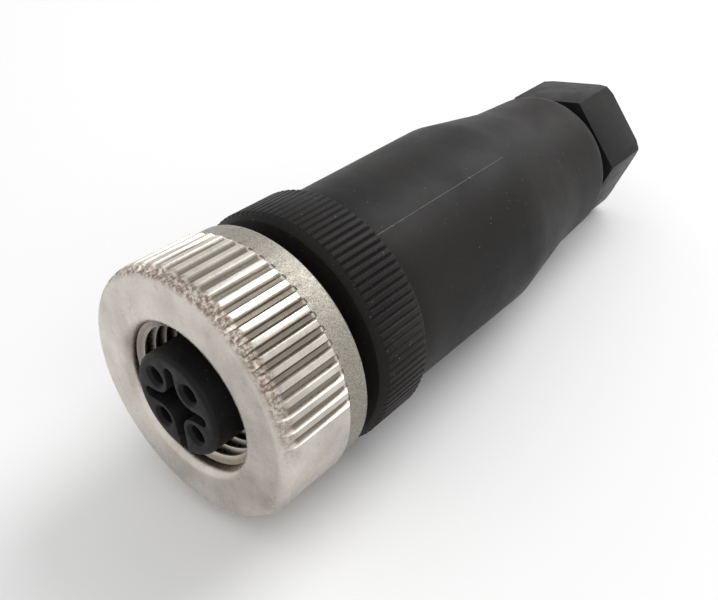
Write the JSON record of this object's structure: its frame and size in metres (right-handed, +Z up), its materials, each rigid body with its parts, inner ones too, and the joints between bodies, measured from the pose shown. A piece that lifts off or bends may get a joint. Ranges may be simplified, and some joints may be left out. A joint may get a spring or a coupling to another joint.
{
  "type": "m12 cable connector",
  "caption": "Straight female screw-terminal cable connector with a fluted coupling nut, knurled collar, tapered housing and hexagonal cable gland.",
  "frame": {"origin": "on the connector's axis, in the plane of the coupling nut's front face", "axes": "+X along the axis from the mating face to the cable gland; +Z up, with the keyway at the bottom (-Z); the connector lies on its side"},
  "size_m": [0.0581, 0.0202, 0.0202],
  "materials": {
    "nickel_plated_zinc": "satin nickel plating on a die-casting",
    "black_polyamide": "satin, finely eroded mould texture",
    "insert_polyamide": "matte",
    "grey_polyamide": "matte",
    "seal_rubber": "matte",
    "contact_brass": "gold plated",
    "screw_steel": "zinc plated"
  },
  "bodies": {
    "shell": {"housing": "black_polyamide", "cable_seal": "seal_rubber"},
    "ring": {"housing_seal": "seal_rubber"},
    "carrier": {"contact_insert": "insert_polyamide", "face_seal": "seal_rubber", "contact_1": "contact_brass", "contact_2": "contact_brass", "contact_3": "contact_brass", "contact_4": "contact_brass", "knurled_collar": "black_polyamide", "terminal_block": "grey_polyamide", "terminal_screws": "screw_steel"},
    "nut": {"coupling_nut": "nickel_plated_zinc"},
    "cage": {"clamp_cage": "grey_polyamide"},
    "gland": {"gland_screw": "black_polyamide"}
  },
  "joints": [
    {"name": "housing_slide", "type": "slide", "parent": "shell", "child": "ring", "axis": [-1, 0, 0], "range_m": [0, 0.00401]},
    {"name": "housing_turn", "type": "hinge", "parent": "ring", "child": "carrier", "pos_m": [0.0175, 0, 0], "axis": [-1, 0, 0], "range_deg": [0, 1440]},
    {"name": "nut_spin", "type": "hinge", "parent": "carrier", "child": "nut", "pos_m": [0.0043, 0, 0], "axis": [1, 0, 0], "continuous": true},
    {"name": "clamp_slide", "type": "slide", "parent": "shell", "child": "cage", "axis": [1, 0, 0], "range_m": [-0.00065, 0.00382]},
    {"name": "gland_turn", "type": "hinge", "parent": "cage", "child": "gland", "pos_m": [0.054, 0, 0], "axis": [1, 0, 0], "range_deg": [-180, 1080]}
  ],
  "couplings": [
    {"joint": "housing_slide", "follows": "housing_turn", "m_per_rad": 0.00015915},
    {"joint": "clamp_slide", "follows": "gland_turn", "m_per_rad": 0.00020213}
  ]
}
